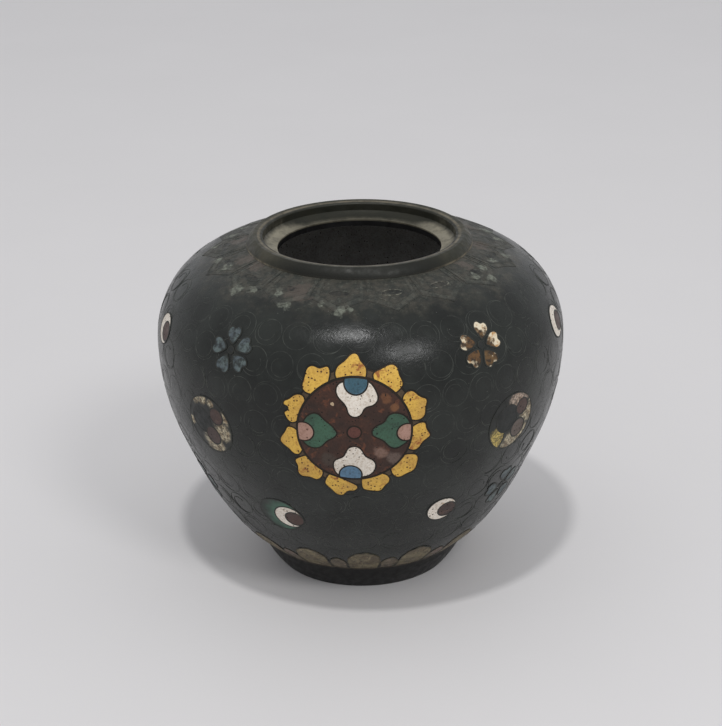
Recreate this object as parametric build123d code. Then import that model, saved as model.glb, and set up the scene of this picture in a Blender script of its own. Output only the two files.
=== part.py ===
from build123d import *

import os
from math import cos, radians, sin

# A small cloisonne vase: a hammered copper body carries flat wires soldered on edge, and each
# cell between the wires is filled with enamel. Millimetres, +Z up, origin at the centre of the
# foot ring's resting face, front medallion towards -Y. A motif is placed by "turn", degrees
# round the body from the front towards +X, and "along", millimetres up the wall from the foot.

# Wall layers, outside to inside
ENAMEL = 0.8
COPPER = 0.8
COUNTER_ENAMEL = 0.4
WIRE = 0.3
CELL_WEAR = 0.03
GROUND_WEAR = 0.06

# Outer wall, as (radius, height), from the foot ring up to the rim collar
WALL = [
    (23.7, 6.6),
    (30.1, 13.0),
    (34.7, 20.0),
    (38.6, 28.0),
    (42.0, 36.0),
    (44.2, 44.0),
    (45.1, 52.0),
    (44.8, 58.0),
    (43.1, 63.0),
    (40.5, 67.0),
    (37.0, 70.1),
    (31.6, 72.8),
    (24.8, 74.9),
]

# Foot ring and base
FOOT_REST_RADIUS = 19.7
FOOT_INNER_RADIUS = 17.6
FOOT_BULGE = (22.0, 3.2)
BASE_RADIUS = 21.2
BASE_FLOOR = 5.0
BASE_THICKNESS = 1.0
# Cove between the inside floor and the wall: how far its ends lie in from the plate's edge
COVE_TOP_INSET = 1.4
COVE_TOP_RISE = 0.9
COVE_FOOT_INSET = 3.4

# Rim collar with its lid seat
CREST_OUTER = (23.15, 77.1)
CREST_INNER = (21.1, 76.8)
CREST_ROUNDING = 0.4
COLLAR_BULGE = (24.15, 76.25)
SEAT_FLOOR = 75.1
THROAT_RADIUS = 18.0
THROAT_TOP = 73.9
THROAT_BOTTOM = 72.4
LEDGE_SAG = 0.25
# Inner radius of the copper body's lip, where the collar sits in it
LIP_RADIUS = 21.3

# Borders
SHOULDER_LAPPETS = 17
SHOULDER_FIRST_TURN = -8.3
SHOULDER_GAP = 0.4
# Shoulder lappet: its tip and its side corners, below the collar, and its belly between them
SHOULDER_TIP = 10.4
SHOULDER_CORNER = 6.5
SHOULDER_BELLY_SHARE = 0.45
SHOULDER_BELLY_DROP = 2.0
SHOULDER_OVERRUN = 0.6
SHOULDER_BAND = 0.9
SHOULDER_BAND_RISE = 1.4
# A point's width grows by this share as its lappet's border is stepped in
POINT_STRETCH = 1.4
OVAL_HALF_WIDTH = 2.3
OVAL_HALF_HEIGHT = 0.9
OVAL_RISE = 1.6
FOOT_LAPPETS = 15
# Kinds of foot lappet, as (node, half width in degrees, height, turn of the first)
FOOT_LAPPET_KINDS = [
    ("foot_tall_lappets", 7.4, 10.4, 0),
    ("foot_low_lappets", 3.9, 7.2, 12),
]
# Its side points, as (share of the height, share of the half width)
FOOT_LAPPET_SIDE = [(0.0, 1.0), (0.45, 1.0), (0.8, 0.8)]
FOOT_BORDER_MIDDLE = 5.0
FOOT_OVERRUN = 1.5

# Front medallion
MEDALLION_TURN = -2.0
MEDALLION_ALONG = 48.66
MEDALLION_RADIUS = 11.75
RING_WIRE = 0.45
FILLER_RADIUS = 13.3
MEDALLION_PETALS = [
    [(-3.4, 11.4), (-3.9, 12.9), (-3.3, 14.3), (-1.9, 15.4), (-0.6, 16.7), (0.7, 16.8),
     (1.5, 15.4), (2.5, 14.2), (2.7, 12.6), (2.2, 11.2)],
    [(4.8, 10.6), (4.1, 12.7), (6.2, 13.8), (7.9, 14.4), (9.1, 13.9), (9.6, 12.0), (10.2, 10.3),
     (8.0, 8.2)],
    [(10.0, 6.4), (10.7, 8.4), (11.8, 8.7), (13.6, 7.3), (15.0, 6.4), (14.8, 4.7), (14.5, 2.8),
     (13.1, 2.0), (11.5, 2.4)],
    [(11.5, 0.4), (13.1, 1.3), (14.5, 1.4), (15.1, -0.2), (15.9, -1.8), (14.4, -3.3),
     (13.0, -5.0), (11.0, -4.4)],
    [(10.0, -6.0), (12.1, -5.9), (13.1, -6.3), (13.4, -8.6), (12.7, -10.4), (11.1, -11.2),
     (9.4, -11.9), (8.4, -11.3), (7.7, -9.0)],
    [(1.2, -11.6), (1.3, -13.3), (1.7, -14.8), (3.8, -15.5), (5.5, -15.6), (6.5, -14.3),
     (7.6, -12.4), (7.0, -11.1), (5.2, -10.3)],
    [(-5.0, -10.5), (-2.6, -11.9), (-0.7, -13.0), (0.5, -14.3), (-0.2, -15.3), (-1.9, -15.6),
     (-2.7, -16.6), (-4.1, -16.7), (-5.5, -15.2), (-6.8, -13.4), (-6.4, -11.8)],
    [(-7.2, -9.4), (-7.4, -11.6), (-8.6, -12.5), (-10.1, -12.0), (-11.9, -11.9), (-12.7, -10.7),
     (-12.6, -9.2), (-12.9, -7.5), (-12.0, -6.8), (-10.2, -6.1)],
    [(-10.8, -4.4), (-12.9, -6.1), (-14.4, -4.7), (-15.8, -3.3), (-15.6, -2.2), (-14.6, -0.7),
     (-13.8, 0.5), (-12.7, 0.4), (-11.4, -0.6)],
    [(-11.4, 2.4), (-13.5, 1.7), (-14.3, 2.8), (-14.4, 3.9), (-13.4, 4.6), (-14.8, 5.6),
     (-13.6, 6.7), (-11.5, 8.0), (-10.3, 7.6), (-10.0, 6.0)],
    [(-8.1, 8.1), (-10.7, 9.6), (-10.3, 11.8), (-9.8, 13.6), (-8.7, 14.1), (-7.1, 13.7),
     (-5.5, 14.1), (-4.9, 13.0), (-5.1, 11.3), (-5.2, 10.0)],
]
UPPER_TREFOIL = [
    (-2.6, 10.9), (-3.6, 9.6), (-3.4, 8.2), (-2.3, 6.8), (-1.5, 5.6), (-1.0, 4.1), (0.4, 3.5),
    (1.6, 4.3), (2.3, 5.5), (3.8, 6.0), (4.9, 7.4), (4.5, 9.2), (3.3, 10.9), (0.4, 11.4),
]
LOWER_TREFOIL = [
    (-3.4, -11.0), (-4.6, -8.8), (-4.2, -6.9), (-2.4, -5.8), (-1.4, -3.9), (0.0, -3.3),
    (1.4, -4.1), (2.3, -5.8), (3.9, -6.9), (4.4, -8.6), (3.2, -10.7), (0.5, -11.4),
]
LEFT_TREFOIL = [
    (-3.6, 0.0), (-4.7, 1.6), (-6.1, 2.8), (-7.6, 4.1), (-9.1, 3.8), (-10.4, 2.2), (-11.2, -0.3),
    (-10.6, -2.9), (-9.0, -4.0), (-7.1, -3.7), (-5.6, -2.2), (-4.1, -1.2),
]
RIGHT_TREFOIL = [
    (3.6, 0.0), (4.5, 1.4), (6.1, 2.3), (6.9, 3.6), (8.0, 4.1), (9.8, 3.7), (11.2, 2.2),
    (11.5, -0.4), (11.1, -2.6), (10.1, -3.4), (8.7, -4.1), (7.1, -3.5), (6.0, -2.2), (4.5, -1.3),
]
BLUE_HALF_DISCS = [(0.45, 10.9, 2.45), (-1.0, -10.6, 2.35)]
PINK_HALF_DISCS = [(-10.6, -0.3, 2.2), (10.8, -0.5, 2.0)]
CENTRE_DISC_RADIUS = 1.45

# Blossoms
BLOSSOM_HEART = 0.75
# Heart-shaped petal, as (outwards from the blossom's centre, sideways)
BLOSSOM_PETAL = [
    (1.3, 0.0),
    (2.7, 1.35),
    (4.1, 1.75),
    (5.1, 0.85),
    (4.75, 0.0),
    (5.1, -0.85),
    (4.1, -1.75),
    (2.7, -1.35),
]
# Each as (node, turn, along, the directions in which the petals point)
BLOSSOMS = [
    ("pale_blossom_petals", -38.5, 63.0, (99, 27, -39, -111, 177)),
    ("ivory_blossom_petals", 35.5, 63.9, (67, 3, -66)),
    ("brown_blossom_petals", 35.5, 63.9, (-134, 161)),
    ("pale_blossom_petals", 52.5, 24.7, (177, 95, 25, -45, -112)),
    ("pale_blossom_petals", -67.5, 22.7, (160, 88, 16, -56, -128)),
]

# Roundels, as (turn, along) and discs as (node, sideways, up, radius)
ROUNDEL_RADIUS = 6.6
LEFT_ROUNDEL = (-46.5, 44.4)
LEFT_ROUNDEL_DISCS = [
    ("roundel_brown_discs", 2.7, 2.8, 1.95),
    ("roundel_brown_discs", 0.8, -2.4, 2.15),
    ("roundel_dark_discs", -2.3, 0.6, 3.0),
]
RIGHT_ROUNDEL = (45.5, 44.5)
RIGHT_ROUNDEL_DISCS = [
    ("roundel_brown_discs", 2.8, 2.7, 1.9),
    ("roundel_grey_discs", 2.3, -2.3, 2.2),
    ("roundel_dark_discs", -1.6, 1.1, 3.2),
]
YELLOW_SHARE = (-7.3, -2.4, 5.2)
TAN_SHARE = (2.0, 8.0, 5.4)

# Crescents, as (turn, along, white radius)
CRESCENTS = [
    (-25.4, 22.4, 3.35),
    (26.4, 24.2, 3.42),
    (-73.0, 59.7, 3.4),
    (73.5, 60.0, 3.6),
]
CRESCENT_DISC = (1.3, -0.3, 2.15)
TEAL_DISC = (-2.0, 0.3, 4.9)

# How far a cutting prism reaches on each side of its plane
REACH = 5.0
# Points sampled along the wall to draw a layer parallel to it
LAYER_POINTS = 12
# Samples for each given point when a smooth outline is grown or shrunk
GROWTH_SAMPLES = 2

HALF_TURN = Rot(0, 0, 180)

pieces = {}
ground_cuts = []


# The outer wall, drawn in the XZ plane
wall = Spline(*[(radius, 0, height) for radius, height in WALL])


def wall_frame(share):
    """Point and outward normal at a share of the wall's length, both in the XZ plane."""
    spot = wall @ share
    slope = wall % share
    return spot, Vector(slope.Z, 0, -slope.X)


def layer_curve(depth):
    """The wall set back by a depth."""
    spots = []
    for step in range(LAYER_POINTS + 1):
        spot, normal = wall_frame(step / LAYER_POINTS)
        spots.append(spot - normal * depth)
    return Spline(*spots)


def layer_shell(outer_depth, inner_depth):
    """A shell of revolution between two depths in the wall."""
    outer = layer_curve(outer_depth)
    inner = layer_curve(inner_depth)
    edges = [outer, Line(outer @ 1, inner @ 1), inner, Line(inner @ 0, outer @ 0)]
    return revolve(make_face(edges), Axis.Z)


def wall_plane(turn, along):
    """The plane that touches the wall at a turn and a distance along."""
    spot, normal = wall_frame(along / wall.length)
    angle = radians(turn)
    across = Vector(cos(angle), sin(angle), 0)
    outward = Vector(normal.X * sin(angle), -normal.X * cos(angle), normal.Z)
    origin = Vector(spot.X * sin(angle), -spot.X * cos(angle), spot.Z)
    return Plane(origin=origin, x_dir=across, z_dir=outward)


def flat(turn, along, sideways, up):
    """Where a wall point, measured over the curved wall from a motif's centre, falls on its plane."""
    centre, _ = wall_frame(along / wall.length)
    spot, _ = wall_frame((along + up) / wall.length)
    angle = radians(turn) + sideways / centre.X
    point = Vector(spot.X * sin(angle), -spot.X * cos(angle), spot.Z)
    local = wall_plane(turn, along).to_local_coords(point)
    return local.X, local.Y


def smooth_outline(turn, along, points):
    """A smooth closed outline on a motif's plane, as a function of how far it is grown."""
    spots = [flat(turn, along, sideways, up) for sideways, up in points]
    curve = Spline(*spots, periodic=True)
    winding = sum(a[0] * b[1] - b[0] * a[1] for a, b in zip(spots, spots[1:] + spots[:1]))
    outward = 1 if winding > 0 else -1
    samples = GROWTH_SAMPLES * len(spots)

    def grown(growth):
        moved = []
        for number in range(samples):
            spot = curve @ (number / samples)
            slope = curve % (number / samples)
            shift = growth * outward
            moved.append((spot.X + slope.Y * shift, spot.Y - slope.X * shift))
        return make_face(Spline(*moved, periodic=True))

    return grown


def round_outline(turn, along, sideways, up, radius):
    """A round outline on a motif's plane, as a function of how far it is grown."""
    middle = Pos(*flat(turn, along, sideways, up))
    return lambda growth: middle * Circle(radius + growth)


def centred(radius):
    """A circle round a motif's centre, as a function of how far it is grown."""
    return lambda growth: Circle(radius + growth)


def prism(plane, outline):
    """An outline pushed through the wall along its plane's normal."""
    return extrude(plane * outline, REACH, both=True)


def keep(node, shape, copies):
    """Store every copy of a shape's solids under its node."""
    for place in copies:
        pieces.setdefault(node, []).extend((place * shape).solids())


def inlay(plane, layers, wire_node, copies, frame=None, over=None):
    """Fill wired cells on a plane, where an earlier layer lies over a later one.

    Each layer is a node's name and an outline as a function of how far it is grown.
    A frame bounds all the cells, and the area in over is already filled. Returns the filled area.
    """
    filled = over
    cells = []
    for node, outline in layers:
        cell = outline(-WIRE / 2)
        if frame is not None:
            cell = cell & frame
        if filled is not None:
            cell = cell - filled
        cells.append(cell)
        keep(node, cell_shell & prism(plane, cell), copies)
        grown = outline(WIRE / 2)
        filled = grown if filled is None else filled + grown
    if frame is not None:
        filled = frame
    wires = filled
    if over is not None:
        wires = wires - over
    for cell in cells:
        wires = wires - cell
    keep(wire_node, wire_shell & prism(plane, wires), copies)
    return filled


def cut_ground(plane, filled, copies):
    """Note the room that a motif takes in the ground enamel."""
    for place in copies:
        ground_cuts.append(place * prism(plane, filled))


def make_medallion():
    """The large medallion: four trefoils in a ringed disc, with eleven petals round it."""
    here = (MEDALLION_TURN, MEDALLION_ALONG)
    plane = wall_plane(*here)
    copies = [Rot(), HALF_TURN]
    inside = Circle(MEDALLION_RADIUS - RING_WIRE / 2)
    outside = Circle(MEDALLION_RADIUS + RING_WIRE / 2)
    layers = [("medallion_centre_discs", centred(CENTRE_DISC_RADIUS))]
    for half_disc in BLUE_HALF_DISCS:
        layers.append(("medallion_blue_half_discs", round_outline(*here, *half_disc)))
    for half_disc in PINK_HALF_DISCS:
        layers.append(("medallion_pink_half_discs", round_outline(*here, *half_disc)))
    for trefoil in (UPPER_TREFOIL, LOWER_TREFOIL):
        layers.append(("medallion_white_trefoils", smooth_outline(*here, trefoil)))
    for trefoil in (LEFT_TREFOIL, RIGHT_TREFOIL):
        layers.append(("medallion_green_trefoils", smooth_outline(*here, trefoil)))
    layers.append(("medallion_field_enamel", centred(MEDALLION_RADIUS)))
    inlay(plane, layers, "medallion_trefoil_wires", copies, frame=inside)
    keep("medallion_ring_wires", wire_shell & prism(plane, outside - inside), copies)
    petals = [("medallion_petals", smooth_outline(*here, petal)) for petal in MEDALLION_PETALS]
    fillers = [("medallion_filler_enamel", centred(FILLER_RADIUS))]
    filled = inlay(plane, petals + fillers, "medallion_petal_wires", copies, over=outside)
    cut_ground(plane, filled, copies)


def blossom_petal(turn, along, direction):
    """One heart-shaped petal that points away from a blossom's centre."""
    angle = radians(direction)
    points = []
    for out, side in BLOSSOM_PETAL:
        points.append((out * cos(angle) - side * sin(angle), out * sin(angle) + side * cos(angle)))
    return smooth_outline(turn, along, points)


def make_blossoms():
    """Small five-petalled blossoms, each with a round heart."""
    copies = [Rot(), HALF_TURN]
    centres = {}
    for node, turn, along, directions in BLOSSOMS:
        layers = centres.setdefault((turn, along), [("blossom_hearts", centred(BLOSSOM_HEART))])
        for direction in directions:
            layers.append((node, blossom_petal(turn, along, direction)))
    for here, layers in centres.items():
        plane = wall_plane(*here)
        cut_ground(plane, inlay(plane, layers, "blossom_wires", copies), copies)


def make_roundel(here, discs, shares):
    """A roundel with three discs; shares are extra coloured parts of its background."""
    copies = [Rot(), HALF_TURN]
    plane = wall_plane(*here)
    inside = Circle(ROUNDEL_RADIUS - WIRE / 2)
    outside = Circle(ROUNDEL_RADIUS + WIRE / 2)
    layers = [(node, round_outline(*here, *place)) for node, *place in discs]
    layers += [(node, round_outline(*here, *place)) for node, place in shares]
    layers.append(("roundel_ivory_enamel", centred(ROUNDEL_RADIUS)))
    inlay(plane, layers, "roundel_wires", copies, frame=inside)
    keep("roundel_ring_wires", wire_shell & prism(plane, outside - inside), copies)
    cut_ground(plane, outside, copies)


def make_crescents():
    """White crescents, each round a brown disc; the first also lies over a teal disc."""
    copies = [Rot(), HALF_TURN]
    for turn, along, radius in CRESCENTS:
        here = (turn, along)
        plane = wall_plane(*here)
        layers = [
            ("crescent_brown_discs", round_outline(*here, *CRESCENT_DISC)),
            ("crescent_white_enamel", centred(radius)),
        ]
        if here == CRESCENTS[0][:2]:
            layers.append(("crescent_teal_disc", round_outline(*here, *TEAL_DISC)))
        cut_ground(plane, inlay(plane, layers, "crescent_wires", copies), copies)


def turns(count, first):
    """Equal turns all round the body."""
    return [Rot(0, 0, first + number * 360 / count) for number in range(count)]


def make_shoulder_border():
    """Hanging lappets round the shoulder, each with a pale border and a dark oval."""
    tip = wall.length - SHOULDER_TIP
    valley = wall.length - SHOULDER_CORNER
    top = wall.length + SHOULDER_OVERRUN
    middle = (tip + top) / 2
    plane = wall_plane(0, middle)
    half_turn = 180 / SHOULDER_LAPPETS

    def corner(turn, along, inset):
        spot, _ = wall_frame(min(along, wall.length) / wall.length)
        across = spot.X * sin(radians(turn)) - inset
        _, up = flat(0, middle, 0, min(along, wall.length) - middle)
        return across, up + max(0, along - wall.length)

    def lappet(inset, rise):
        def grown(growth):
            side = inset - growth
            lift = rise - growth
            right_top = corner(half_turn, top, side)
            right_valley = corner(half_turn, valley + lift, side)
            belly = valley - SHOULDER_BELLY_DROP + lift
            right_belly = corner(half_turn * SHOULDER_BELLY_SHARE, belly, side / 2)
            lowest = (0, corner(0, tip + POINT_STRETCH * lift, 0)[1])
            left_belly = (-right_belly[0], right_belly[1])
            left_valley = (-right_valley[0], right_valley[1])
            left_top = (-right_top[0], right_top[1])
            edges = [
                Line(left_top, left_valley),
                Spline(left_valley, left_belly, lowest),
                Spline(lowest, right_belly, right_valley),
                Line(right_valley, right_top),
                Line(right_top, left_top),
            ]
            return make_face(edges)

        return grown

    def oval(growth):
        middle_point = Pos(*corner(0, valley + OVAL_RISE, 0))
        return middle_point * Ellipse(OVAL_HALF_WIDTH + growth, OVAL_HALF_HEIGHT + growth)

    side_gap = (SHOULDER_GAP + WIRE) / 2
    layers = [
        ("shoulder_lappet_ovals", oval),
        ("shoulder_lappet_fields", lappet(side_gap + SHOULDER_BAND, SHOULDER_BAND_RISE)),
        ("shoulder_lappet_borders", lappet(side_gap, 0)),
    ]
    copies = turns(SHOULDER_LAPPETS, SHOULDER_FIRST_TURN)
    cut_ground(plane, inlay(plane, layers, "shoulder_lappet_wires", copies), copies)


def foot_lappet(half_width, height):
    """A round-topped lappet that stands on the foot ring, as a function of its growth."""
    middle = FOOT_BORDER_MIDDLE
    centre, _ = wall_frame(middle / wall.length)

    def grown(growth):
        right = []
        for rise, width in FOOT_LAPPET_SIDE:
            sideways = radians(half_width * width) * centre.X
            across, up = flat(0, middle, sideways, height * rise - middle)
            right.append((across + growth, up))
        left = [(-across, up) for across, up in reversed(right)]
        _, top = flat(0, middle, 0, height - middle)
        low = right[0][1] - FOOT_OVERRUN
        sides = Polyline(left[-1], (left[-1][0], low), (right[0][0], low), right[0])
        return make_face([sides, Spline(*right, (0, top + growth), *left)])

    return grown


def make_foot_border():
    """Tall and low lappets in turn round the foot."""
    plane = wall_plane(0, FOOT_BORDER_MIDDLE)
    for node, half_width, height, first in FOOT_LAPPET_KINDS:
        copies = turns(FOOT_LAPPETS, first)
        layers = [(node, foot_lappet(half_width, height))]
        cut_ground(plane, inlay(plane, layers, "foot_lappet_wires", copies), copies)


def make_ground():
    """The dark ground enamel, with room cut out for every motif."""
    ground = layer_shell(GROUND_WEAR, ENAMEL)
    return ground - ground_cuts


def make_copper_body():
    """The copper body: it follows the wall and turns in under the collar as a flat lip."""
    outer = layer_curve(ENAMEL)
    inner = layer_curve(ENAMEL + COPPER)
    lip_top = (outer @ 1).Z
    lip_bottom = (inner @ 1).Z
    lip = Polyline(outer @ 1, (LIP_RADIUS, 0, lip_top), (LIP_RADIUS, 0, lip_bottom), inner @ 1)
    return revolve(make_face([outer, lip, inner, Line(inner @ 0, outer @ 0)]), Axis.Z)


def make_interior_enamel():
    """The plain counter-enamel inside, over the copper, the ring's top and the base plate."""
    outer = layer_curve(ENAMEL + COPPER)
    inner = layer_curve(ENAMEL + COPPER + COUNTER_ENAMEL)
    floor = BASE_FLOOR + BASE_THICKNESS
    lip_top = (outer @ 1).Z
    lip_bottom = (inner @ 1).Z
    lip = Polyline(outer @ 1, (LIP_RADIUS, 0, lip_top), (LIP_RADIUS, 0, lip_bottom), inner @ 1)
    bottom = Polyline(
        inner @ 0,
        (BASE_RADIUS - COVE_TOP_INSET, 0, floor + COVE_TOP_RISE),
        (BASE_RADIUS - COVE_FOOT_INSET, 0, floor + COUNTER_ENAMEL),
        (0, 0, floor + COUNTER_ENAMEL),
        (0, 0, floor),
        (BASE_RADIUS, 0, floor),
        (BASE_RADIUS, 0, (outer @ 0).Z),
        outer @ 0,
    )
    return revolve(make_face([outer, lip, inner, bottom]), Axis.Z)


def make_foot_ring():
    """The conical bronze foot ring, rebated for the base plate and seated under the body."""
    top = layer_curve(ENAMEL + COPPER) @ 0
    edge = wall @ 0
    bulge = (FOOT_BULGE[0], 0, FOOT_BULGE[1])
    outside = ThreePointArc((FOOT_REST_RADIUS, 0, 0), bulge, edge)
    inside = Polyline(
        edge,
        top,
        (BASE_RADIUS, 0, top.Z),
        (BASE_RADIUS, 0, BASE_FLOOR),
        (FOOT_INNER_RADIUS, 0, BASE_FLOOR),
        (FOOT_INNER_RADIUS, 0, 0),
        (FOOT_REST_RADIUS, 0, 0),
    )
    return revolve(make_face([outside, inside]), Axis.Z)


def make_base_plate():
    """The round copper base, dropped into the foot ring's rebate."""
    lowest = Pos(0, 0, BASE_FLOOR)
    return lowest * Cylinder(BASE_RADIUS, BASE_THICKNESS, align=(Align.CENTER, Align.CENTER, Align.MIN))


def make_base_enamel():
    """The counter-enamel under the base plate, inside the foot ring."""
    lowest = Pos(0, 0, BASE_FLOOR - COUNTER_ENAMEL)
    align = (Align.CENTER, Align.CENTER, Align.MIN)
    return lowest * Cylinder(FOOT_INNER_RADIUS, COUNTER_ENAMEL, align=align)


def make_rim_collar():
    """The bronze collar: a rounded crest, a round recess for a lid, and a coved throat."""
    edge = wall @ 1
    lip = layer_curve(ENAMEL) @ 1
    seat_radius = CREST_INNER[0]
    ledge_middle = ((seat_radius + THROAT_RADIUS) / 2, (SEAT_FLOOR + THROAT_TOP) / 2 - LEDGE_SAG)
    edges = [
        ThreePointArc((edge.X, edge.Z), COLLAR_BULGE, CREST_OUTER),
        Polyline(CREST_OUTER, CREST_INNER, (seat_radius, SEAT_FLOOR)),
        ThreePointArc((seat_radius, SEAT_FLOOR), ledge_middle, (THROAT_RADIUS, THROAT_TOP)),
        Polyline(
            (THROAT_RADIUS, THROAT_TOP),
            (THROAT_RADIUS, THROAT_BOTTOM),
            (LIP_RADIUS, THROAT_BOTTOM),
            (LIP_RADIUS, lip.Z),
            (lip.X, lip.Z),
            (edge.X, edge.Z),
        ),
    ]
    section = make_face(edges)
    crest = section.vertices().sort_by(Axis.Y)[-2:]
    return revolve(Plane.XZ * fillet(crest, CREST_ROUNDING), Axis.Z)


cell_shell = layer_shell(CELL_WEAR, ENAMEL)
wire_shell = layer_shell(0, ENAMEL)

make_medallion()
make_blossoms()
make_roundel(LEFT_ROUNDEL, LEFT_ROUNDEL_DISCS, [])
make_roundel(
    RIGHT_ROUNDEL,
    RIGHT_ROUNDEL_DISCS,
    [("roundel_yellow_enamel", YELLOW_SHARE), ("roundel_tan_enamel", TAN_SHARE)],
)
make_crescents()
make_shoulder_border()
make_foot_border()
keep("ground_enamel", make_ground(), [Rot()])
keep("copper_body", make_copper_body(), [Rot()])
keep("interior_counter_enamel", make_interior_enamel(), [Rot()])
keep("foot_ring", make_foot_ring(), [Rot()])
keep("base_plate", make_base_plate(), [Rot()])
keep("base_counter_enamel", make_base_enamel(), [Rot()])
keep("rim_collar", make_rim_collar(), [Rot()])

os.makedirs("parts", exist_ok=True)
for node, solids in pieces.items():
    export_step(Compound(children=solids), f"parts/{node}.step")
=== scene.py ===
import math

import bpy
import numpy as np
from mathutils import Matrix, Vector


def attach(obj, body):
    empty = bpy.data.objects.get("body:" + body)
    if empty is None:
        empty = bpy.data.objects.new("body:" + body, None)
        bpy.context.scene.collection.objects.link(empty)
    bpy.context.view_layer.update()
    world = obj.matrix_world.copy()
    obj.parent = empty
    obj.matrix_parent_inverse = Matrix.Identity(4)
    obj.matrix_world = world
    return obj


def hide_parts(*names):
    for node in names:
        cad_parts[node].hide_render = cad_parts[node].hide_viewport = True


# Looks for a small cloisonne vase. The CAD frame is in metres, +Z up, front medallion towards -Y.
# A place on the wall is (turn, along): degrees round from the front towards +X, and millimetres
# up the wall from the foot ring, as in the CAD model. Materials' colours are 0 to 255 display values.

MM = 0.001

# Outer wall of the CAD model, as (radius, height) in millimetres
WALL = [
    (23.7, 6.6),
    (30.1, 13.0),
    (34.7, 20.0),
    (38.6, 28.0),
    (42.0, 36.0),
    (44.2, 44.0),
    (45.1, 52.0),
    (44.8, 58.0),
    (43.1, 63.0),
    (40.5, 67.0),
    (37.0, 70.1),
    (31.6, 72.8),
    (24.8, 74.9),
]

# Camera: its distance from the target in metres, then its elevation, lift and roll in degrees
CAMERA_TARGET = (0.0, 0.0, 0.038)
CAMERA_DISTANCE = 0.450
CAMERA_ELEVATION = 23.44
CAMERA_LIFT = 0.935
CAMERA_ROLL = 0.8
CAMERA_LENS = 98.63

# The room's even light, and the lamps as (name, direction, width in metres, power)
ROOM_COLOUR = (0.96, 0.97, 1.0, 1.0)
ROOM_STRENGTH = 0.6
LAMP_DISTANCE = 1.3
LAMPS = [
    ("overhead", (-0.063, -0.325, 0.94), 0.09, 4.4),
    ("right", (0.385, -0.65, 0.70), 0.34, 3.4),
]
FLOOR_SIZE = 3.0

# How strongly each kind of surface mirrors the room, where 0.5 is plain glass
ENAMEL_SHINE = 0.36
RUBBED_SHINE = 0.32
GROUND_SHINE = 0.29
FLOOR_SHINE = 0.3

# Ground enamel skin: its mean depth below the wall's surface, and its slow waves with their limits
SKIN_DEPTH = 0.1
SKIN_UNEVEN = 0.007
SKIN_WAVES = 26
SKIN_HIGHEST = 0.08
SKIN_LOWEST = 0.16
SKIN_TURNS = 440
SKIN_ROWS = 220
# Each wave goes round the vase this many times, and leans by up to this many radians a millimetre
SKIN_WAVE_COUNTS = (2, 26)
SKIN_WAVE_LEAN = 0.35
# On the rubbed shoulder, from this far up the wall, the skin rises until it nearly reaches the wires
SHOULDER_START = 73.0
SHOULDER_FADE = 3.0
SHOULDER_DEPTH = 0.045

# Heights between which the ground turns from black-green to rubbed olive, and grows duller
RUBBED_FROM = 69.5
RUBBED_TO = 73.5
DULL_FROM = 70.5
DULL_TO = 74.0

# Rim collar. Where its marks fade, as radii: the throat, the ledge's outer edge and the outer slope
THROAT_EDGE = (18.4, 18.7)
LEDGE_EDGE = (21.4, 21.9)
SLOPE_EDGE = (22.9, 23.4)
# The painted shade in the throat fades between these heights
THROAT_SHADE = (73.5, 73.7)
# The ledge's pale band, rubbed all round and with a painted highlight towards the sides, fades between
# these radii, and reaches further out towards the sides
PALE_BAND = (18.0, 19.6)
SIDE_HIGHLIGHT_REACH = 3.0
# Where the painted highlight on the sides begins and is full, and where the painted shade on the front is
# full and ends, from the axis
SIDE_HIGHLIGHT_EDGES = (11.0, 18.0)
FRONT_SHADE_EDGES = (-21.0, -13.0)
# Rubbed edges, as (radius, height)
THROAT_RIM = (18.0, 73.9)
CREST_TOP = (22.0, 77.0)

# Fine curled wires in the ground: each winds out from the inner to the outer radius
CURL_INNER = 1.5
CURL_OUTER = 3.1
CURL_TURNS = 1.8
CURL_PITCH = 6.6
CURL_ROW = 6.7
CURL_WIRE = 0.14
CURL_STEPS = 56
# How unevenly they were set: degrees round, millimetres up, and a share of the outer radius
CURL_TURN_SPREAD = 0.35
CURL_RISE_SPREAD = 0.2
CURL_SIZE_SPREAD = 0.03
# A curl's cross-section, as (share of the wire's width, height above the skin's mean depth)
CURL_SECTION = [(-0.5, -0.03), (-0.3, 0.026), (0.3, 0.026), (0.5, -0.03)]
# The rows of curls, from the foot border to the shoulder
CURL_FIRST_ROW = 15.0
CURL_LAST_ROW = 74.0

# How far the noise can shift a ragged patch's edge, in millimetres
RAGGED_REACH = 4

# Worn places on the front, as (turn, along, radius). All but the ovals are worn on the back too.
PALE_PLACES = [
    (-50.5, 76.2, 1.5),
    (-43.5, 77.6, 0.9),
    (-33.0, 78.7, 1.1),
    (-27.0, 75.6, 1.2),
    (-14.5, 76.6, 0.9),
    (-7.0, 75.0, 1.3),
    (-3.5, 75.9, 0.8),
    (-69.0, 79.4, 1.5),
    (-79.0, 78.6, 1.2),
    (52.5, 79.3, 1.0),
    (58.2, 76.9, 1.1),
    (61.3, 80.2, 1.2),
    (72.0, 79.9, 1.0),
    (82.0, 77.8, 1.0),
]
BROWN_PLACES = [
    (-68.0, 84.2, 2.4),
    (-57.0, 83.8, 2.0),
    (-25.0, 80.0, 2.6),
    (56.0, 83.6, 1.8),
    (84.0, 83.8, 2.4),
]
IVORY_PLACES = [
    (-51.5, 50.2, 1.5),
    (-48.0, 50.3, 1.5),
    (-45.0, 50.0, 1.1),
    (-54.2, 43.6, 1.3),
    (-45.8, 40.4, 3.0),
    (-41.4, 43.8, 2.3),
    (-39.4, 47.3, 1.6),
    (46.2, 39.3, 2.5),
    (50.0, 41.0, 2.2),
    (52.0, 45.0, 2.2),
    (51.0, 49.0, 1.6),
]
OCHRE_PLACES = [(40.4, 41.2, 2.9)]
TAN_PLACES = [(46.6, 49.4, 2.2), (49.2, 49.0, 1.8)]
OVAL_PLACES = [(12.9, 80.7, 2.7), (34.1, 80.7, 2.7)]
PINK_FOOT_PLACES = [(-38.0, 6.0, 2.6), (37.0, 6.5, 3.0), (60.0, 6.0, 3.0), (-64.0, 5.0, 3.0)]
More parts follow.
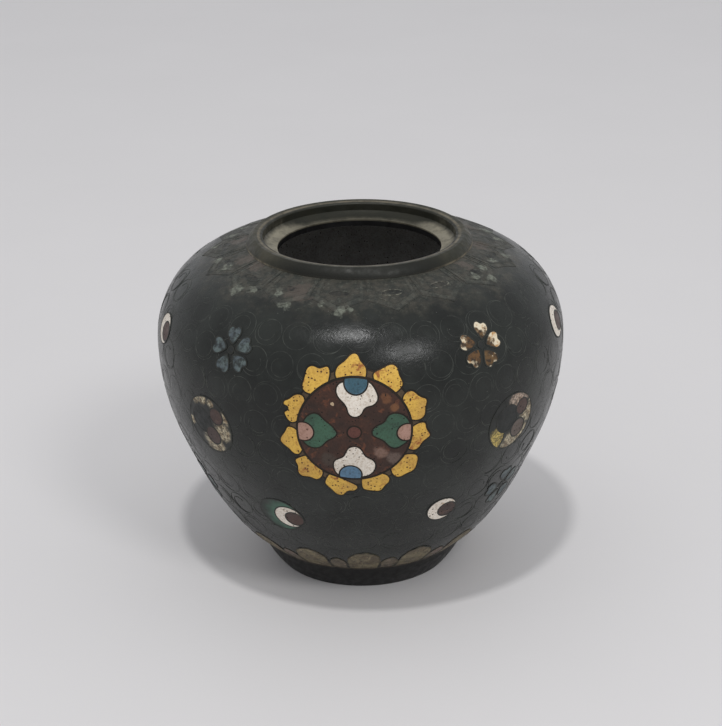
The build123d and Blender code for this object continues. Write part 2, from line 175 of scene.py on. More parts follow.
RUSTY_PETAL = (37.8, 60.6, 2.4)
# Middles of the motifs that differ from their neighbours, as (turn, along)
WORN_BLOSSOM = (35.5, 63.9)
PALE_BLOSSOMS = [(-38.5, 63.0), (52.5, 24.7), (-67.5, 22.7)]
TEAL_CRESCENT = (-25.4, 22.4)


# ---------------------------------------------------------------- wall geometry

def cubic(knots, values):
    """A smooth cubic through the values, with its end pieces continued from their neighbours."""
    count = len(knots)
    step = np.diff(knots)
    slope = np.diff(values) / step
    matrix = np.zeros((count, count))
    right = np.zeros(count)
    for i in range(1, count - 1):
        matrix[i, i - 1:i + 2] = step[i - 1], 2 * (step[i - 1] + step[i]), step[i]
        right[i] = 6 * (slope[i] - slope[i - 1])
    matrix[0, :3] = step[1], -(step[0] + step[1]), step[0]
    matrix[-1, -3:] = step[-1], -(step[-2] + step[-1]), step[-2]
    bend = np.linalg.solve(matrix, right)

    def at(x):
        i = np.clip(np.searchsorted(knots, x) - 1, 0, count - 2)
        after = knots[i + 1] - x
        before = x - knots[i]
        curved = (bend[i] * after ** 3 + bend[i + 1] * before ** 3) / (6 * step[i])
        start = values[i] / step[i] - bend[i] * step[i] / 6
        end = values[i + 1] / step[i] - bend[i + 1] * step[i] / 6
        return curved + start * after + end * before

    return at


def wall_tables():
    """Distance along the wall, radius, height and outward normal, at many close points."""
    points = np.array(WALL)
    knots = np.concatenate([[0], np.cumsum(np.hypot(*np.diff(points, axis=0).T))])
    fine = np.linspace(0, knots[-1], 4000)
    radius = cubic(knots, points[:, 0])(fine)
    height = cubic(knots, points[:, 1])(fine)
    along = np.concatenate([[0], np.cumsum(np.hypot(np.diff(radius), np.diff(height)))])
    slope_r = np.gradient(radius, along)
    slope_z = np.gradient(height, along)
    return along, radius, height, slope_z, -slope_r


TABLE = wall_tables()
WALL_LENGTH = TABLE[0][-1]


def wall_profile(along):
    """Radius, height and the normal's two parts at distances along the wall, in millimetres."""
    return [np.interp(along, TABLE[0], column) for column in TABLE[1:]]


def on_wall(turn, along, depth=0.0):
    """Points on the wall, in metres; the inputs may be arrays, and depth is in millimetres."""
    radius, height, out, up = wall_profile(along)
    angle = np.radians(turn)
    reach = radius - out * depth
    level = height - up * depth
    return np.stack([reach * np.sin(angle), -reach * np.cos(angle), level + 0 * angle], -1) * MM


def new_mesh(name, points, faces):
    """A mesh object with smooth faces."""
    mesh = bpy.data.meshes.new(name)
    mesh.from_pydata([tuple(p) for p in points], [], [tuple(f) for f in faces])
    mesh.validate()
    mesh.update()
    mesh.shade_smooth()
    piece = bpy.data.objects.new(name, mesh)
    bpy.context.scene.collection.objects.link(piece)
    return piece


# ---------------------------------------------------------------- material helpers

def colour(red, green, blue):
    """A linear colour from its 0 to 255 display values."""
    linear = []
    for value in (red, green, blue):
        share = value / 255
        linear.append(share / 12.92 if share < 0.04045 else ((share + 0.055) / 1.055) ** 2.4)
    return (*linear, 1.0)


class Shader:
    """A material that is built up node by node, in object coordinates (metres)."""

    def __init__(self, name):
        self.material = bpy.data.materials.new(name)
        self.material.use_nodes = True
        self.tree = self.material.node_tree
        self.surface = self.tree.nodes["Principled BSDF"]
        self.place = self.tree.nodes.new("ShaderNodeTexCoord").outputs["Object"]
        split = self.tree.nodes.new("ShaderNodeSeparateXYZ")
        self.link(self.place, split.inputs["Vector"])
        self.height = split.outputs["Z"]
        # Every motif is repeated on the back, so worn places are repeated there as well
        side = self.math("SIGN", self.math("SUBTRACT", 0.0, split.outputs["Y"]))
        fold = self.tree.nodes.new("ShaderNodeCombineXYZ")
        self.link(self.math("MULTIPLY", split.outputs["X"], side), fold.inputs["X"])
        self.link(self.math("MULTIPLY", split.outputs["Y"], side), fold.inputs["Y"])
        self.link(self.height, fold.inputs["Z"])
        self.folded = fold.outputs["Vector"]
        flat = self.tree.nodes.new("ShaderNodeCombineXYZ")
        self.link(split.outputs["X"], flat.inputs["X"])
        self.link(split.outputs["Y"], flat.inputs["Y"])
        length = self.tree.nodes.new("ShaderNodeVectorMath")
        length.operation = "LENGTH"
        self.link(flat.outputs["Vector"], length.inputs[0])
        self.radius = length.outputs["Value"]
        self.wobble = self.math("SUBTRACT", self.noise(1.7, 4, 0.6), 0.5)

    def link(self, source, socket):
        """Feed a socket from another node's output, or set its value."""
        if isinstance(source, bpy.types.NodeSocket):
            self.tree.links.new(source, socket)
        else:
            socket.default_value = source

    def noise(self, size, detail=3.0, roughness=0.55, distortion=0.0):
        """Noise whose blobs are about size millimetres across."""
        node = self.tree.nodes.new("ShaderNodeTexNoise")
        node.inputs["Scale"].default_value = 1 / MM / size
        node.inputs["Detail"].default_value = detail
        node.inputs["Roughness"].default_value = roughness
        node.inputs["Distortion"].default_value = distortion
        self.link(self.place, node.inputs["Vector"])
        return node.outputs["Fac"]

    def pits(self, spacing, share, largest):
        """1 in small round pits: a share of the points spaced apart have one, largest in radius."""
        node = self.tree.nodes.new("ShaderNodeTexVoronoi")
        node.inputs["Scale"].default_value = 1 / MM / spacing
        self.link(self.place, node.inputs["Vector"])
        split = self.tree.nodes.new("ShaderNodeSeparateColor")
        self.link(node.outputs["Color"], split.inputs["Color"])
        away = self.math("MULTIPLY", node.outputs["Distance"], spacing)
        size = self.ramp(split.outputs["Red"], 1 - share, 1.0, 0.0, largest)
        inside = self.ramp(away, self.math("MULTIPLY", size, 0.55), size, 1.0, 0.0)
        return self.math("MULTIPLY", inside, self.ramp(size, 0.02, 0.06))

    def math(self, operation, first, second=0.0, clamp=False):
        """One arithmetic step."""
        node = self.tree.nodes.new("ShaderNodeMath")
        node.operation = operation
        node.use_clamp = clamp
        self.link(first, node.inputs[0])
        self.link(second, node.inputs[1])
        return node.outputs[0]

    def ramp(self, value, low, high, start=0.0, end=1.0):
        """A smooth step from start to end as the value goes from low to high."""
        node = self.tree.nodes.new("ShaderNodeMapRange")
        node.interpolation_type = "SMOOTHSTEP"
        self.link(value, node.inputs["Value"])
        for name, number in (("From Min", low), ("From Max", high), ("To Min", start), ("To Max", end)):
            self.link(number, node.inputs[name])
        return node.outputs["Result"]

    def mix(self, share, first, second, blend="MIX"):
        """A blend of two colours."""
        node = self.tree.nodes.new("ShaderNodeMix")
        node.data_type = "RGBA"
        node.blend_type = blend
        self.link(share, node.inputs["Factor"])
        self.link(first, node.inputs["A"])
        self.link(second, node.inputs["B"])
        return node.outputs["Result"]

    def away(self, turn, along, both_sides=True):
        """Distance in millimetres from a place on the wall. With both sides, the back has a copy of it."""
        node = self.tree.nodes.new("ShaderNodeVectorMath")
        node.operation = "DISTANCE"
        self.link(self.folded if both_sides else self.place, node.inputs[0])
        node.inputs[1].default_value = on_wall(turn, along)
        return self.math("MULTIPLY", node.outputs["Value"], 1 / MM)

    def near(self, places, ragged=1.2, both_sides=True):
        """1 inside ragged patches on the wall, 0 outside; each is (turn, along, radius)."""
        inside = None
        for turn, along, radius in places:
            edge = self.math("MULTIPLY", self.wobble, RAGGED_REACH * ragged)
            away = self.math("ADD", self.away(turn, along, both_sides), edge)
            patch = self.ramp(away, radius * 0.6, radius * 1.25, 1.0, 0.0)
            inside = patch if inside is None else self.math("MAXIMUM", inside, patch)
        return inside

    def bump(self, height, depth, below=None):
        """A bump whose full height is depth millimetres."""
        node = self.tree.nodes.new("ShaderNodeBump")
        node.inputs["Distance"].default_value = depth * MM
        self.link(height, node.inputs["Height"])
        if below is not None:
            self.link(below, node.inputs["Normal"])
        return node.outputs["Normal"]

    def band(self, value, edges, start=0.0, end=1.0):
        """A smooth step between two edges that are given in millimetres."""
        return self.ramp(value, edges[0] * MM, edges[1] * MM, start, end)

    def finish(self, base, roughness, normal, metallic=0.0, specular=0.5):
        """Connect the results to the surface."""
        self.link(base, self.surface.inputs["Base Color"])
        self.link(roughness, self.surface.inputs["Roughness"])
        self.link(normal, self.surface.inputs["Normal"])
        self.surface.inputs["Metallic"].default_value = metallic
        self.surface.inputs["Specular IOR Level"].default_value = specular
        return self.material


def polished(shader, base, pinholes, gloss=0.36):
    """Finish an enamel: uneven polish, slight waves and sunken pinholes."""
    roughness = shader.ramp(shader.noise(1.8, 4), 0.3, 0.7, gloss, gloss + 0.16)
    roughness = shader.math("ADD", roughness, shader.math("MULTIPLY", pinholes, 0.3), True)
    normal = shader.bump(shader.noise(1.1, 4, 0.6), 0.035)
    normal = shader.bump(shader.math("SUBTRACT", 1.0, pinholes), 0.06, normal)
    return shader.finish(base, roughness, normal, specular=ENAMEL_SHINE)


def enamel(name, main, tint, pit, pits=0.45, stain=None, stained=0.0, spots=()):
    """Old opaque enamel: mottled colour, dark pinholes, stains and a soft uneven polish.

    Spots are places of another colour, as (turn, along, radius, colour).
    """
    shader = Shader(name)
    base = shader.mix(shader.ramp(shader.noise(4.5, 4), 0.35, 0.68), colour(*main), colour(*tint))
    if stain is not None:
        share = shader.ramp(shader.noise(2.2, 5, 0.65, 0.6), 0.62 - stained * 0.2, 0.74 - stained * 0.2)
        base = shader.mix(share, base, colour(*stain))
    for turn, along, radius, shade in spots:
        base = shader.mix(shader.near([(turn, along, radius)], 0.5), base, colour(*shade))
    grain = shader.ramp(shader.noise(0.45, 3, 0.6), 0.46, 0.66)
    base = shader.mix(grain, base, shader.mix(1.0, base, colour(226, 220, 214), "MULTIPLY"))
    pinholes = shader.pits(0.62, pits, 0.25)
    base = shader.mix(pinholes, base, colour(*pit))
    return polished(shader, base, pinholes)


def ground_tone(shader):
    """The ground's colour: black-green below, rubbed olive with brown and pale patches round the collar."""
    base = shader.mix(
        shader.ramp(shader.noise(9, 5, 0.6), 0.35, 0.7), colour(28, 30, 28), colour(39, 42, 39)
    )
    dust = shader.ramp(shader.noise(0.9, 5, 0.7), 0.6, 0.8, 0.0, 0.3)
    base = shader.mix(dust, base, colour(84, 88, 82))
    cloud = shader.math("MULTIPLY", shader.math("SUBTRACT", shader.noise(5, 5, 0.6), 0.5), 0.010)
    worn = shader.band(shader.math("ADD", shader.height, cloud), (RUBBED_FROM, RUBBED_TO), 0.0, 0.8)
    rubbed = shader.mix(
        shader.ramp(shader.noise(1.9, 6, 0.7), 0.38, 0.62), colour(39, 42, 37), colour(67, 64, 56)
    )
    base = shader.mix(worn, base, rubbed)
    flaked = shader.ramp(shader.noise(0.9, 5, 0.75, 0.5), 0.53, 0.66, 0.0, 0.55)
    base = shader.mix(shader.math("MULTIPLY", flaked, worn), base, colour(96, 98, 88))
    browned = shader.math("MULTIPLY", shader.near(BROWN_PLACES, 2.0), 0.45)
    base = shader.mix(browned, base, colour(96, 84, 76))
    patchy = shader.ramp(shader.noise(0.8, 4, 0.7), 0.36, 0.62, 0.85, 0.2)
    pale = shader.math("MULTIPLY", shader.near(PALE_PLACES, 1.1), patchy)
    return shader.mix(pale, base, colour(120, 124, 112))


def ground_enamel():
    """The dark ground, semi-matt, with faint pits."""
    shader = Shader("ground_enamel")
    pinholes = shader.pits(1.3, 0.3, 0.16)
    base = shader.mix(shader.math("MULTIPLY", pinholes, 0.4), ground_tone(shader), colour(110, 112, 104))
    roughness = shader.ramp(shader.noise(2.6, 5, 0.6), 0.3, 0.7, 0.2, 0.31)
    dulled = shader.band(shader.height, (DULL_FROM, DULL_TO), 0.0, 0.16)
    roughness = shader.math("ADD", roughness, dulled, True)
    normal = shader.bump(shader.noise(3.2, 3), 0.045)
    normal = shader.bump(shader.noise(0.6, 4, 0.65), 0.035, normal)
    normal = shader.bump(shader.math("SUBTRACT", 1.0, pinholes), 0.05, normal)
    return shader.finish(base, roughness, normal, specular=GROUND_SHINE)


def faded(name, main, share, bright_places=()):
    """Border enamel or wire that nearly matches the ground, with brighter flecks at some front places."""
    shader = Shader(name)
    visible = shader.ramp(shader.noise(1.6, 5, 0.65), 0.35, 0.68, 0.0, share)
    base = shader.mix(visible, ground_tone(shader), colour(*main))
    if bright_places:
        broken = shader.ramp(shader.noise(0.9, 4, 0.7), 0.42, 0.62, 0.0, 0.9)
        shown = shader.math("MULTIPLY", shader.near(bright_places, 0.8, False), broken)
        base = shader.mix(shown, base, colour(112, 110, 98))
    roughness = shader.ramp(shader.noise(1.5, 4), 0.3, 0.7, 0.42, 0.6)
    normal = shader.bump(shader.noise(0.7, 5, 0.7), 0.06)
    return shader.finish(base, roughness, normal, specular=RUBBED_SHINE)


def remnant(name, main, tint, places):
    """A roundel's enamel, left only in speckled places and lost to the ground elsewhere."""
    shader = Shader(name)
    mottled = shader.ramp(shader.noise(1.1, 4, 0.7), 0.4, 0.62)
    enamelled = shader.mix(mottled, colour(*main), colour(*tint))
    speckle = shader.ramp(shader.noise(0.5, 4, 0.7), 0.44, 0.56, 0.95, 0.3)
    left = shader.math("MULTIPLY", shader.near(places, 0.7), speckle)
    base = shader.mix(left, ground_tone(shader), enamelled)
    return polished(shader, base, shader.pits(0.8, 0.6, 0.22))


def two_tone_blossom(name, inner, outer, reach):
    """Petals of the worn blossom: one colour near its heart and another at the tips."""
    shader = Shader(name)
    away = shader.math("ADD", shader.away(*WORN_BLOSSOM), shader.math("MULTIPLY", shader.wobble, 7))
    rusty = shader.math("MULTIPLY", shader.near([RUSTY_PETAL], 2.0), 1.6)
    tip = shader.ramp(shader.math("SUBTRACT", away, rusty), reach - 0.5, reach + 0.6)
    darkened = shader.ramp(shader.noise(1.0, 4, 0.6), 0.42, 0.62)
    heart = shader.mix(darkened, colour(*inner), colour(50, 40, 30))
    browned = shader.ramp(shader.noise(1.2, 4, 0.6), 0.5, 0.7)
    pale = shader.mix(browned, colour(*outer), colour(176, 132, 78))
    base = shader.mix(tip, heart, pale)
    pinholes = shader.pits(0.8, 0.5, 0.22)
    base = shader.mix(pinholes, base, colour(66, 42, 26))
    return polished(shader, base, pinholes)


def pale_blossom():
    """Slate-blue petals, dull and partly lost to the ground."""
    shader = Shader("pale_blossom")
    slate = shader.mix(
        shader.ramp(shader.noise(1.8, 4, 0.6), 0.4, 0.65), colour(92, 104, 103), colour(79, 88, 93)
    )
    lost = shader.ramp(shader.noise(1.1, 5, 0.7), 0.42, 0.62, 0.0, 0.85)
    hearts = [(turn, along, 2.4) for turn, along in PALE_BLOSSOMS]
    lost = shader.math("MAXIMUM", lost, shader.math("MULTIPLY", shader.near(hearts, 1.0), 0.85))
    base = shader.mix(lost, slate, ground_tone(shader))
    return polished(shader, base, shader.pits(0.7, 0.6, 0.2), 0.42)


def teal_halo():
    """The disc behind the left crescent: teal beside the crescent, sinking into the ground."""
    shader = Shader("teal_halo")
    away = shader.math("ADD", shader.away(*TEAL_CRESCENT), shader.math("MULTIPLY", shader.wobble, 3))
    teal = shader.mix(shader.noise(2.0, 4), colour(70, 108, 88), colour(54, 84, 70))
    base = shader.mix(shader.ramp(away, 3.5, 6.2, 0.92, 0.05), ground_tone(shader), teal)
    return polished(shader, base, shader.pits(0.9, 0.4, 0.2))


def foot_enamel(name, main, tint, flake):
    """Enamel of the foot border: olive and pinkish, crazed with fine dark cracks."""
    shader = Shader(name)
    base = shader.mix(shader.ramp(shader.noise(3.0, 5, 0.6), 0.38, 0.62), colour(*main), colour(*tint))
    share = shader.ramp(shader.noise(1.2, 6, 0.7, 0.8), 0.5, 0.64, 0.0, 0.85)
    base = shader.mix(share, base, colour(*flake))
    pinkish = shader.math("MULTIPLY", shader.near(PINK_FOOT_PLACES), 0.7)
    base = shader.mix(pinkish, base, colour(120, 102, 94))
    ridge = shader.math("ABSOLUTE", shader.math("SUBTRACT", shader.noise(2.2, 3, 0.55, 1.0), 0.5))
    crack = shader.ramp(ridge, 0.004, 0.02, 0.85, 0.0)
    base = shader.mix(crack, base, colour(44, 38, 28))
    roughness = shader.ramp(shader.noise(1.5, 4), 0.3, 0.7, 0.42, 0.65)
    normal = shader.bump(shader.math("SUBTRACT", 1.0, crack), 0.06)
    normal = shader.bump(shader.noise(0.8, 6, 0.7), 0.08, normal)
    return shader.finish(base, roughness, normal)


def rim_marks(shader, base):
    """The collar's marks: painted shade in the recess, in the throat and on the front slope, and a pale
    rubbed ledge with a painted highlight towards the sides.
    """
    split = shader.tree.nodes.new("ShaderNodeSeparateXYZ")
    shader.link(shader.folded, split.inputs["Vector"])
    # Painted highlight: the ledge's pale band reaches further out and grows brighter towards the left and
    # right sides
    side = shader.band(shader.math("ABSOLUTE", split.outputs["X"]), SIDE_HIGHLIGHT_EDGES, 0.0, 0.6)
    # Painted shade: everything inside the ledge's outer edge is darkened, standing in for the shadow in the
    # recess
    recess = shader.band(shader.radius, LEDGE_EDGE[::-1])
    base = shader.mix(shader.math("MULTIPLY", recess, 0.75), base, colour(34, 35, 28))
    uneven = shader.math("ADD", shader.radius, shader.math("MULTIPLY", shader.wobble, 1.2 * MM))
    reach = shader.math("SUBTRACT", uneven, shader.math("MULTIPLY", side, SIDE_HIGHLIGHT_REACH * MM))
    pale = shader.math("MULTIPLY", shader.band(reach, PALE_BAND, 1.0, 0.0), recess)
    pale = shader.math("MULTIPLY", pale, shader.ramp(shader.noise(2.2, 5, 0.65), 0.3, 0.6, 0.5))
    # The pale band is rubbed wear at a share of 0.35 all round, with the painted highlight weighted up on
    # the sides
    pale = shader.math("MULTIPLY", pale, shader.math("ADD", side, 0.35))
    base = shader.mix(pale, base, colour(152, 146, 128))
    # Painted shade: the collar's outer slope is darkened towards the front
    front = shader.band(split.outputs["Y"], FRONT_SHADE_EDGES, 0.95, 0.0)
    slope = shader.band(shader.radius, SLOPE_EDGE)
    base = shader.mix(shader.math("MULTIPLY", front, slope), base, colour(20, 21, 15))
    # Painted shade: the throat below the rim is painted near-black for the shadow in the opening
    throat = shader.band(shader.radius, THROAT_EDGE, 1.0, 0.0)
    throat_shade = shader.band(shader.height, THROAT_SHADE, 1.0, 0.0)
    return shader.mix(shader.math("MULTIPLY", throat, throat_shade), base, colour(22, 21, 21))


def tarnished(name, main, tint, worn, gloss, metallic, wear_at=(), marks=None):
    """Patinated metal, rubbed bright near rings that are given as (radius, height, width, strength).

    Marks is a function that takes the shader and its colour so far, and adds to the colour.
    """
    shader = Shader(name)
    base = shader.mix(shader.ramp(shader.noise(5, 5, 0.6), 0.35, 0.68), colour(*main), colour(*tint))
    rubbed = shader.ramp(shader.noise(1.2, 5, 0.7), 0.64, 0.8, 0.0, 0.3)
    for ring, height, width, strength in wear_at:
        across = shader.math("SUBTRACT", shader.radius, ring * MM)
        above = shader.math("SUBTRACT", shader.height, height * MM)
        square = shader.math(
            "ADD", shader.math("MULTIPLY", across, across), shader.math("MULTIPLY", above, above)
        )
        away = shader.math("MULTIPLY", shader.math("SQRT", square), 1 / MM)
        broken = shader.ramp(shader.noise(2.0, 5, 0.65), 0.3, 0.62, 0.15 * strength, strength)
        edge = shader.math("MULTIPLY", shader.ramp(away, width * 0.3, width, 1.0, 0.0), broken)
        rubbed = shader.math("MAXIMUM", rubbed, edge)
    base = shader.mix(rubbed, base, colour(*worn))
    if marks is not None:
        base = marks(shader, base)
    roughness = shader.ramp(shader.noise(1.5, 5), 0.3, 0.7, gloss, gloss + 0.2)
    normal = shader.bump(shader.noise(0.7, 5, 0.65), 0.04)
    return shader.finish(base, roughness, normal, metallic)


# ---------------------------------------------------------------- materials of the CAD nodes

def metal_materials():
    """The copper under the enamel, the foot ring and the rim collar."""
    foot_wear = [(*WALL[0], 0.5, 0.8)]
    rim_wear = [(*WALL[-1], 0.5, 0.8), (*THROAT_RIM, 0.5, 0.8), (*CREST_TOP, 0.5, 0.65)]
    return {
        "copper_body": tarnished("copper", (96, 66, 48), (70, 50, 40), (140, 100, 72), 0.45, 0.8),
        "base_plate": tarnished("base_copper", (92, 64, 48), (66, 48, 40), (130, 96, 70), 0.45, 0.8),
        # Painted shade: the foot ring's bronze is painted near-black, as it stands in deep shade
        "foot_ring": tarnished(
            "foot_bronze", (29, 28, 27), (23, 23, 22), (84, 76, 66), 0.42, 0.4, foot_wear
        ),
        "rim_collar": tarnished(
            "rim_bronze", (66, 63, 50), (46, 47, 37), (132, 122, 102), 0.4, 0.4, rim_wear, rim_marks
        ),
    }


def inside_materials():
    """The plain grey enamel inside and under the base."""
    return {
        "interior_counter_enamel": enamel("inside_enamel", (172, 171, 169), (152, 151, 149), (70, 68, 66)),
        "base_counter_enamel": enamel("base_enamel", (150, 149, 148), (132, 131, 130), (70, 68, 66)),
    }


def shoulder_materials():
    """The rubbed lappets round the collar."""
    return {
        "shoulder_lappet_fields": faded("shoulder_enamel", (74, 72, 64), 0.2),
        "shoulder_lappet_borders": faded("pale_border", (98, 99, 90), 0.3),
        "shoulder_lappet_ovals": faded("oval_enamel", (24, 25, 23), 1.0),
        "shoulder_lappet_wires": faded("border_wire", (62, 62, 56), 0.3, OVAL_PLACES),
    }


def foot_materials():
    """The crazed lappets above the foot ring."""
    return {
        "foot_tall_lappets": foot_enamel("olive_enamel", (110, 101, 76), (88, 77, 60), (140, 127, 99)),
        "foot_low_lappets": foot_enamel("tan_border", (100, 90, 72), (84, 74, 62), (126, 112, 94)),
        "foot_lappet_wires": faded("foot_wire", (84, 76, 58), 0.9),
    }


def medallion_materials(white):
    """The two large medallions, with a few lighter flaws in the brown and one dull blue half disc."""
    wire = tarnished("wire", (44, 36, 28), (30, 27, 23), (96, 80, 58), 0.42, 0.55)
    flaws = [
        (5.0, 43.6, 1.5, (120, 94, 82)),
        (8.5, 42.0, 1.6, (96, 80, 72)),
        (6.5, 56.0, 1.1, (102, 66, 42)),
        (8.8, 54.0, 0.8, (112, 74, 46)),
        (-7.6, 55.0, 0.2, (190, 168, 138)),
        (-9.0, 42.0, 1.8, (66, 54, 46)),
    ]
    return {
        "medallion_field_enamel": enamel(
            "medallion_brown", (65, 40, 29), (48, 32, 25), (28, 20, 16), 0.5, (96, 56, 36), 0.4, spots=flaws
        ),
        "medallion_centre_discs": enamel("red_brown", (98, 58, 49), (84, 50, 43), (44, 26, 22), 0.3),
        "medallion_white_trefoils": white,
        "medallion_green_trefoils": enamel(
            "green_enamel", (62, 96, 76), (52, 80, 64), (26, 34, 28), 0.5, (44, 62, 50), 0.2
        ),
        "medallion_blue_half_discs": enamel(
            "blue_enamel", (98, 134, 162), (84, 116, 142), (40, 50, 60), 0.3,
            spots=[(-1.4, 59.6, 2.9, (58, 90, 104))],
        ),
        "medallion_pink_half_discs": enamel(
            "pink_enamel", (172, 136, 122), (156, 122, 106), (96, 70, 56), 0.4
        ),
        "medallion_trefoil_wires": wire,
        "medallion_ring_wires": wire,
        "medallion_petals": enamel(
            "yellow_enamel", (218, 176, 78), (196, 154, 74), (74, 40, 24), 0.9, (156, 96, 46), 0.34
        ),
        "medallion_filler_enamel": enamel("buff_enamel", (84, 68, 48), (62, 52, 40), (40, 30, 22), 0.4),
        "medallion_petal_wires": wire,
    }


def blossom_materials(dark, thin_wire):
    """The five-petalled blossoms."""
    return {
        "blossom_hearts": dark,
        "pale_blossom_petals": pale_blossom(),
        "ivory_blossom_petals": two_tone_blossom("ivory_petals", (100, 76, 46), (220, 208, 182), 3.1),
        "brown_blossom_petals": two_tone_blossom("brown_petals", (100, 72, 42), (216, 202, 174), 4.6),
        "blossom_wires": thin_wire,
    }


def roundel_materials(brown, dark, thin_wire):
    """The half-lost roundels beside the medallions."""
    return {
        "roundel_brown_discs": brown,
        "roundel_dark_discs": dark,
        "roundel_grey_discs": enamel("grey_brown", (92, 80, 72), (78, 68, 64), (46, 38, 36), 0.5),
        "roundel_ivory_enamel": remnant("rubbed_ivory", (206, 194, 164), (132, 112, 84), IVORY_PLACES),
        "roundel_yellow_enamel": remnant("ochre", (202, 178, 98), (166, 146, 86), OCHRE_PLACES),
        "roundel_tan_enamel": remnant("tan_enamel", (186, 166, 148), (136, 112, 94), TAN_PLACES),
        "roundel_wires": thin_wire,
        "roundel_ring_wires": thin_wire,
    }


def crescent_materials(brown, white, thin_wire):
    """The white crescents, each round a brown disc."""
    return {
        "crescent_brown_discs": brown,
        "crescent_white_enamel": white,
        "crescent_teal_disc": teal_halo(),
        "crescent_wires": thin_wire,
    }


def all_materials():
    """The material of each CAD node that is shown."""
    white = enamel(
        "white_enamel", (232, 224, 212), (216, 207, 194), (84, 72, 62), 0.7, (186, 160, 134), 0.1
    )
    brown = enamel("brown_enamel", (74, 55, 49), (60, 47, 43), (34, 24, 20), 0.5, (94, 70, 60), 0.3)
    dark = faded("dark_enamel", (38, 40, 40), 0.9)
    thin_wire = faded("faded_wire", (54, 54, 48), 0.5)
    return {
        **metal_materials(),
        **inside_materials(),
        **shoulder_materials(),
        **foot_materials(),
        **medallion_materials(white),
        **blossom_materials(dark, thin_wire),
        **roundel_materials(brown, dark, thin_wire),
        **crescent_materials(brown, white, thin_wire),
    }


# ---------------------------------------------------------------- pieces

def ground_skin():
    """The dark ground as one fine skin, a little uneven, just below the wires and the cells."""
    rng = np.random.default_rng(7)
    turn = np.linspace(0, 360, SKIN_TURNS, endpoint=False)
    along = np.linspace(0, WALL_LENGTH, SKIN_ROWS)
    turns, alongs = np.meshgrid(turn, along)
    uneven = np.zeros_like(turns)
    for _ in range(SKIN_WAVES):
        waves = rng.integers(*SKIN_WAVE_COUNTS)
        rise = rng.uniform(-SKIN_WAVE_LEAN, SKIN_WAVE_LEAN)
        phase = rng.uniform(0, 2 * math.pi)
        uneven += np.sin(np.radians(turns) * waves + alongs * rise + phase)
    depth = np.clip(SKIN_DEPTH + SKIN_UNEVEN * uneven, SKIN_HIGHEST, SKIN_LOWEST)
    rubbed = np.clip((alongs - SHOULDER_START) / SHOULDER_FADE, 0, 1)
    depth = depth * (1 - rubbed) + SHOULDER_DEPTH * rubbed
    points = on_wall(turns, alongs, depth).reshape(-1, 3)
    faces = []
    for row in range(SKIN_ROWS - 1):
        for column in range(SKIN_TURNS):
            after = (column + 1) % SKIN_TURNS
            low = row * SKIN_TURNS
            faces.append((low + column, low + after, low + SKIN_TURNS + after, low + SKIN_TURNS + column))
    piece = new_mesh("ground_skin", points, faces)
    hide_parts("ground_enamel")
    return piece


def curl_places():
    """Centres of the ground's curled wires, in staggered rows from the foot border to the shoulder."""
    places = []
    for number, along in enumerate(np.arange(CURL_FIRST_ROW, CURL_LAST_ROW, CURL_ROW)):
        radius = wall_profile(along)[0]
        count = round(2 * math.pi * radius / CURL_PITCH)
        for position in range(count):
            places.append(((position + 0.5 * (number % 2)) * 360 / count, along))
    return places


def curled_wires():
    """Thin curled wires in the ground: a low ridge that winds round each centre."""
    rng = np.random.default_rng(11)
    wind = np.linspace(0, 1, CURL_STEPS)
    points = []
    faces = []
    for turn, along in curl_places():
        turn += rng.normal(0, CURL_TURN_SPREAD)
        along += rng.normal(0, CURL_RISE_SPREAD)
        outer = CURL_OUTER * (1 + rng.normal(0, CURL_SIZE_SPREAD))
        start = rng.uniform(0, 2 * math.pi)
        hand = rng.choice((-1, 1))
        # The last whole turn keeps the outer radius, and the part before it winds in
        reach = outer - (outer - CURL_INNER) * np.clip(1 - wind * CURL_TURNS / (CURL_TURNS - 1), 0, 1)
        angle = start + hand * 2 * math.pi * CURL_TURNS * wind
        first = len(points)
        for across, lift in CURL_SECTION:
            distance = reach + across * CURL_WIRE
            up = along + distance * np.sin(angle)
            side = turn + np.degrees(distance * np.cos(angle) / wall_profile(along)[0])
            points.extend(on_wall(side, up, SKIN_DEPTH - lift))
        for band in range(len(CURL_SECTION) - 1):
            for step in range(CURL_STEPS - 1):
                low = first + band * CURL_STEPS + step
                corners = (low, low + 1, low + CURL_STEPS + 1, low + CURL_STEPS)
                faces.append(corners if hand < 0 else corners[::-1])
    piece = new_mesh("ground_curled_wires", points, faces)
    return piece


# ---------------------------------------------------------------- build

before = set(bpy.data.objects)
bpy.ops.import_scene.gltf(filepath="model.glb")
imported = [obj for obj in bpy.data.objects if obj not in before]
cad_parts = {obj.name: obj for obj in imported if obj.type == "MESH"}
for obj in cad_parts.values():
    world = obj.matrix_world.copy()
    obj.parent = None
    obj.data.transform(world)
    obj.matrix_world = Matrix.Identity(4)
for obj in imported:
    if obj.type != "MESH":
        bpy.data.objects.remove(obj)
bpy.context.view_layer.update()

skin = ground_skin()
skin.data.materials.append(ground_enamel())
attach(skin, "root")
curls = curled_wires()
curls.data.materials.append(faded("curl_wire", (76, 79, 73), 0.8))
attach(curls, "root")

for node, material in all_materials().items():
    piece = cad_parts[node]
    piece.data.materials.clear()
    piece.data.materials.append(material)


# ---------------------------------------------------------------- floor, light and camera

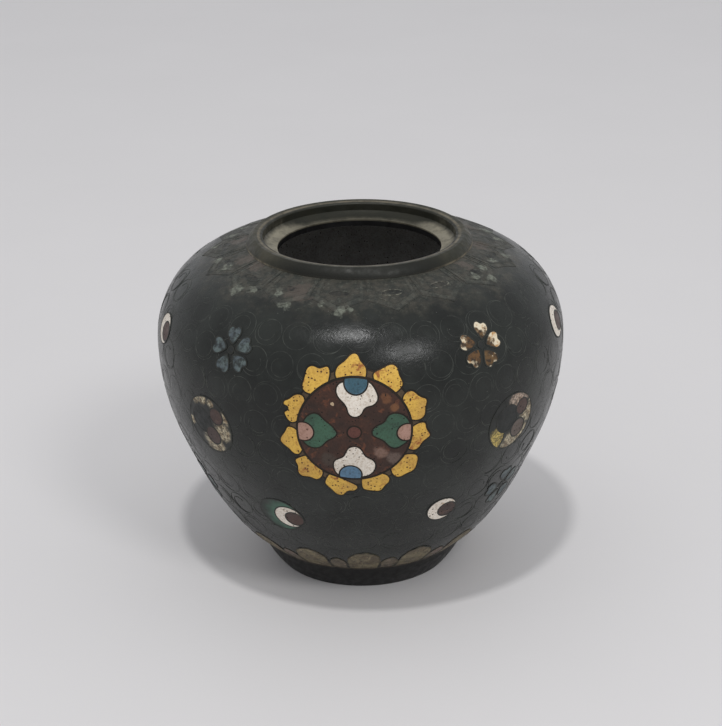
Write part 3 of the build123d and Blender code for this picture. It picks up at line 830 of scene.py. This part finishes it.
def make_floor():
    """A plain pale floor."""
    shader = Shader("floor")
    base = shader.mix(shader.noise(60, 3), colour(219, 217, 217), colour(223, 221, 221))
    normal = shader.bump(shader.noise(2, 3), 0.01)
    corners = [(-1, -1, 0), (1, -1, 0), (1, 1, 0), (-1, 1, 0)]
    floor = new_mesh("floor", FLOOR_SIZE * np.array(corners), [(0, 1, 2, 3)])
    floor.data.materials.append(shader.finish(base, 0.6, normal, specular=FLOOR_SHINE))


def area_light(name, direction, width, power):
    """A round soft lamp that faces the vase from a direction."""
    light = bpy.data.lights.new(name, "AREA")
    light.shape = "DISK"
    light.size = width
    light.energy = power
    lamp = bpy.data.objects.new(name, light)
    lamp.location = Vector(CAMERA_TARGET) + LAMP_DISTANCE * Vector(direction).normalized()
    lamp.rotation_euler = Vector(direction).to_track_quat("Z", "Y").to_euler()
    bpy.context.scene.collection.objects.link(lamp)


def make_lights():
    """A pale room, a lamp overhead that gives the main shadow, and a broader one on the right."""
    world = bpy.data.worlds.new("studio")
    world.use_nodes = True
    background = world.node_tree.nodes["Background"]
    background.inputs["Color"].default_value = ROOM_COLOUR
    background.inputs["Strength"].default_value = ROOM_STRENGTH
    bpy.context.scene.world = world
    for lamp in LAMPS:
        area_light(*lamp)


def make_camera():
    """The camera, aimed a little above the middle of the vase and rolled slightly."""
    elevation = math.radians(CAMERA_ELEVATION)
    target = Vector(CAMERA_TARGET)
    place = target + CAMERA_DISTANCE * Vector((0, -math.cos(elevation), math.sin(elevation)))
    camera = bpy.data.objects.new("camera", bpy.data.cameras.new("camera"))
    camera.data.lens = CAMERA_LENS
    camera.data.sensor_width = 36.0
    camera.data.clip_start = 0.01
    tilt = math.radians(90 - CAMERA_ELEVATION + CAMERA_LIFT)
    roll = math.radians(CAMERA_ROLL)
    camera.matrix_world = (
        Matrix.Translation(place) @ Matrix.Rotation(tilt, 4, "X") @ Matrix.Rotation(-roll, 4, "Z")
    )
    bpy.context.scene.collection.objects.link(camera)
    bpy.context.scene.camera = camera


make_floor()
make_lights()
make_camera()
bpy.context.scene.view_settings.view_transform = "Standard"
